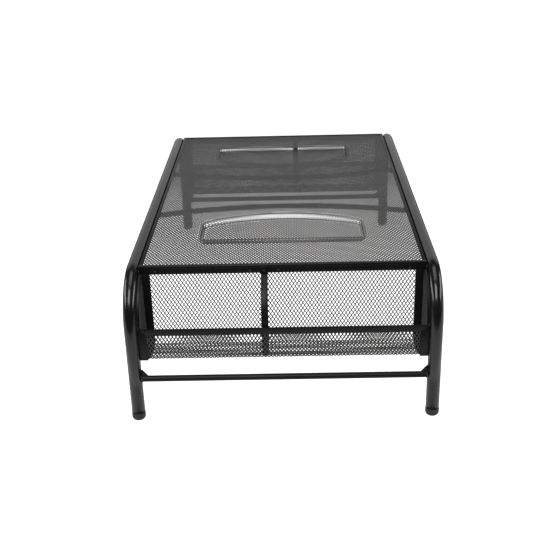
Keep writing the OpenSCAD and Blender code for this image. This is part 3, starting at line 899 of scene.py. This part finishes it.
for end, end_word in ((LEFT, "left"), (RIGHT, "right")):
    x = rim_low.x + half_length
    bm = plate([(x, rim_low.y, rim_low.z), (x, rim_high.y, rim_low.z),
                (x, rim_high.y, rim_high.z), (x, rim_low.y, rim_high.z)], rim_high.x - rim_low.x)
    at_end(bm, end)
    rim = finished(f"rim_{end_word}", bm, trim_coat)
    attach(rim, "root")
    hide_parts(f"pocket_rim_{end_word}")

    low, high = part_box("lip_rail_left")
    x = low.x + half_length
    in_y = flank_y - FLANGE_WIDTH
    bm = plate([(x, -flank_y, high.z), (x, flank_y, high.z), (x, in_y, low.z), (x, -in_y, low.z)],
               TRIM_THICK)
    near_x = x + TRIM_THICK / 2
    far_x = x + LIP_FOLD_REACH
    fold_top = high.z - LIP_FOLD_TOP
    fold = folded_strip([(near_x, -basket_half_y, high.z - TRIM_THICK), (near_x, -basket_half_y, fold_top),
                         (far_x, -basket_half_y, fold_top), (far_x, -basket_half_y, high.z - LIP_FOLD_DROP)],
                        (0, 2 * basket_half_y, 0), fold=LIP_FOLD_ROUND)
    bmesh.ops.recalc_face_normals(fold, faces=fold.faces)
    bmesh.ops.solidify(fold, geom=fold.faces[:], thickness=LIP_FOLD_THICK)
    join(bm, fold)
    at_end(bm, end)
    rail = finished(f"lip_{end_word}", bm, trim_coat)
    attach(rail, "root")
    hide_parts(f"lip_rail_{end_word}")

    for side, side_word in ((FRONT, "front"), (REAR, "rear")):
        drawn = side if end == LEFT else -side
        node = f"lip_flange_{side_word}_{end_word}"
        low_f, high_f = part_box(node)
        inner_top = low.z - MITRE_GAP
        bm = plate([(x, drawn * flank_y, high_f.z), (x, drawn * flank_y, low_f.z),
                    (x, drawn * in_y, low_f.z), (x, drawn * in_y, inner_top)], TRIM_THICK)
        at_end(bm, end)
        flange = finished(f"flange_{side_word}_{end_word}", bm, trim_coat)
        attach(flange, "root")
        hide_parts(node)


# ---- Dividers -----------------------------------------------------------------------------------
# A web of mesh parts each pocket into a wide and a narrow side. A folded steel edge runs up its
# front, round under the bend and ends in a tab spot welded to the rim.

DIVIDER_OFF = 16.6 * MM
EDGE_WIDTH = 6.5 * MM
EDGE_STEPS = 14
EDGE_ROUND = 0.3 * MM
WEB_TUCK = 0.6 * TRIM_THICK  # how far the web's edge goes into its steel edge

edge_low, edge_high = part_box("divider_edge_left")
edge_front = edge_low.x + half_length
edge_r = bend_x - edge_front
tab_x = deck_line - TRIM_THICK / 2
for end, end_word in ((LEFT, "left"), (RIGHT, "right")):
    low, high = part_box("divider_left")
    reach = (low.z, high.z, low.x + half_length, high.x + half_length)
    bm = diamonds(*reach)
    trim_box(bm, *reach)
    trim(bm, *arc_cuts(edge_r - WEB_TUCK))
    open_cells(bm)
    stand_up(bm, DIVIDER_OFF)
    at_end(bm, end)
    web = finished(f"web_{end_word}", bm, mesh_coat, tidy=False)
    thicken(web, STRAND_THICK, even=False)
    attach(web, "root")
    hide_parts(f"divider_{end_word}")

    mid_r = edge_r - TRIM_THICK / 2
    up_to = math.acos((bend_x - tab_x) / mid_r)
    bm = bmesh.new()
    foot = bm.verts.new((bend_x - mid_r, DIVIDER_OFF - EDGE_WIDTH / 2, edge_low.z))
    top = bm.verts.new((bend_x - mid_r, DIVIDER_OFF - EDGE_WIDTH / 2, bend_z))
    bm.edges.new((foot, top))
    arc = bmesh.ops.spin(bm, geom=[top], cent=(bend_x, 0, bend_z), axis=(0, 1, 0), angle=up_to,
                         steps=EDGE_STEPS)["geom_last"]
    tab = bmesh.ops.extrude_vert_indiv(bm, verts=only(bmesh.types.BMVert, arc))["verts"]
    for vert in tab:
        vert.co.z = edge_high.z
    bmesh.ops.remove_doubles(bm, verts=bm.verts, dist=HAIR)
    pull(bm, bm.edges[:], (0, EDGE_WIDTH, 0))
    at_end(bm, end)
    edge = finished(f"web_edge_{end_word}", bm, trim_coat)
    thicken(edge, TRIM_THICK)
    soften(edge, EDGE_ROUND)
    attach(edge, "root")
    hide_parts(f"divider_edge_{end_word}")


# ---- Spot welds ---------------------------------------------------------------------------------
# Small round dimples where the electrodes pressed the rim, the tab and the hem together.

SPOT_R = 1.2 * MM
SPOT_H = 0.5 * MM

spots = bmesh.new()
rim_mid = (rim_low.z + rim_high.z) / 2
rim_face = rim_low.x + half_length
side_spot = flank_y - 2 * FLANGE_WIDTH
for end in (LEFT, RIGHT):
    at_this_end = bmesh.new()
    places = [(tab_x - TRIM_THICK / 2, DIVIDER_OFF)]
    places += [(rim_face, y) for y in (DIVIDER_OFF - 2 * EDGE_WIDTH, DIVIDER_OFF + 2 * EDGE_WIDTH)]
    places += [(rim_face, side * side_spot) for side in (FRONT, REAR)]
    for x, y in places:
        bmesh.ops.create_uvsphere(
            at_this_end, u_segments=20, v_segments=12, radius=1.0,
            matrix=Matrix.Translation((x, y, rim_mid)) @ Matrix.Diagonal((SPOT_H, SPOT_R, SPOT_R, 1)))
    at_end(at_this_end, end)
    join(spots, at_this_end)
dimples = finished("spots", spots, weld_coat, crease=80)
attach(dimples, "root")
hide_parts("spot_welds")


# ---- Floor and light ----------------------------------------------------------------------------
# A wide pale floor that shows pure white, as on a light table, but looks grey in the gloss of the
# coat. A white backdrop behind the stand and soft boxes above and beside it draw the highlights.

FLOOR_SIZE = 12.0
SHOWN_WHITE = 1.05
PAPER_HALF = 0.43      # half the length of the pale strip that the gloss of the coat reflects
PAPER_FADE = 0.03
PAPER_GLOW = 0.35
BACKDROP_GLOW = 0.6
ROOM_GLOW = 0.04


def camera_white(tree, other):
    """A brightness that is pure white where it is looked at and another value where it is reflected."""
    ray = add(tree, "ShaderNodeLightPath")
    bright = add(tree, "ShaderNodeMix", data_type="FLOAT")
    bright.inputs["A"].default_value = other
    bright.inputs["B"].default_value = SHOWN_WHITE
    tree.links.new(ray.outputs["Is Camera Ray"], bright.inputs["Factor"])
    return bright.outputs["Result"]


floor_white = bpy.data.materials.new("floor_white")
floor_white.use_nodes = True
floor_surface = floor_white.node_tree.nodes["Principled BSDF"]
floor_surface.inputs["Roughness"].default_value = 0.9
floor_surface.inputs["Specular IOR Level"].default_value = 0.1
floor_surface.inputs["Emission Color"].default_value = (1, 1, 1, 1)

paper = floor_white.node_tree
place = add(paper, "ShaderNodeTexCoord")
split = add(paper, "ShaderNodeSeparateXYZ")
out_along = add(paper, "ShaderNodeMath", operation="ABSOLUTE")
on_paper = add(paper, "ShaderNodeMapRange", From_Min=PAPER_HALF + PAPER_FADE,
               From_Max=PAPER_HALF - PAPER_FADE)
paper_colour = add(paper, "ShaderNodeMix", data_type="RGBA")
paper_colour.inputs["A"].default_value = (0.05, 0.05, 0.05, 1)
paper_colour.inputs["B"].default_value = (0.6, 0.6, 0.6, 1)
reflected = add(paper, "ShaderNodeMath", operation="MULTIPLY")
reflected.inputs[1].default_value = PAPER_GLOW
paper.links.new(place.outputs["Object"], split.inputs["Vector"])
paper.links.new(split.outputs["X"], out_along.inputs[0])
paper.links.new(out_along.outputs["Value"], on_paper.inputs["Value"])
paper.links.new(on_paper.outputs["Result"], paper_colour.inputs["Factor"])
paper.links.new(on_paper.outputs["Result"], reflected.inputs[0])
paper.links.new(paper_colour.outputs["Result"], floor_surface.inputs["Base Color"])
shown = camera_white(paper, 0.0)
paper.links.new(reflected.outputs["Value"], shown.node.inputs["A"])
paper.links.new(shown, floor_surface.inputs["Emission Strength"])

bm = bmesh.new()
bmesh.ops.create_grid(bm, x_segments=1, y_segments=1, size=FLOOR_SIZE / 2)
bmesh.ops.translate(bm, verts=bm.verts, vec=(0, 0, cad_box[0].z))
floor = finished("floor", bm, floor_white, tidy=False)

world = bpy.data.worlds.new("studio")
world.use_nodes = True
sky = world.node_tree.nodes["Background"]
sky.inputs["Color"].default_value = (1, 1, 1, 1)
world.node_tree.links.new(camera_white(world.node_tree, ROOM_GLOW), sky.inputs["Strength"])
bpy.context.scene.world = world
bpy.context.scene.view_settings.view_transform = "Standard"


def soft_box(name, place, target, size, glow):
    """An even rectangle of light; glow is its brightness as seen in a mirror."""
    data = bpy.data.lights.new(name, "AREA")
    data.shape = "RECTANGLE"
    data.size, data.size_y = size
    data.energy = math.pi * size[0] * size[1] * glow
    light = bpy.data.objects.new(name, data)
    aim = (Vector(target) - Vector(place)).to_track_quat("-Z", "Y")
    light.matrix_world = Matrix.Translation(place) @ aim.to_matrix().to_4x4()
    light.visible_camera = False
    bpy.context.scene.collection.objects.link(light)


soft_box("backdrop", (2.6, 0.0, 1.2), (0, 0, 0.6), (5.0, 2.4), BACKDROP_GLOW)
soft_box("box_above", (0.0, 0.0, 1.9), (0, 0, 0.1), (1.2, 1.2), 2.0)
soft_box("box_front", (-1.3, 0.2, 1.5), (-0.2, 0, 0.12), (0.9, 1.0), 6.0)
soft_box("strip_rear", (-0.2, 1.5, 0.7), (-0.2, 0, 0.1), (1.4, 0.4), 6.2)
soft_box("strip_front", (-0.2, -1.5, 0.7), (-0.2, 0, 0.1), (1.4, 0.4), 6.2)
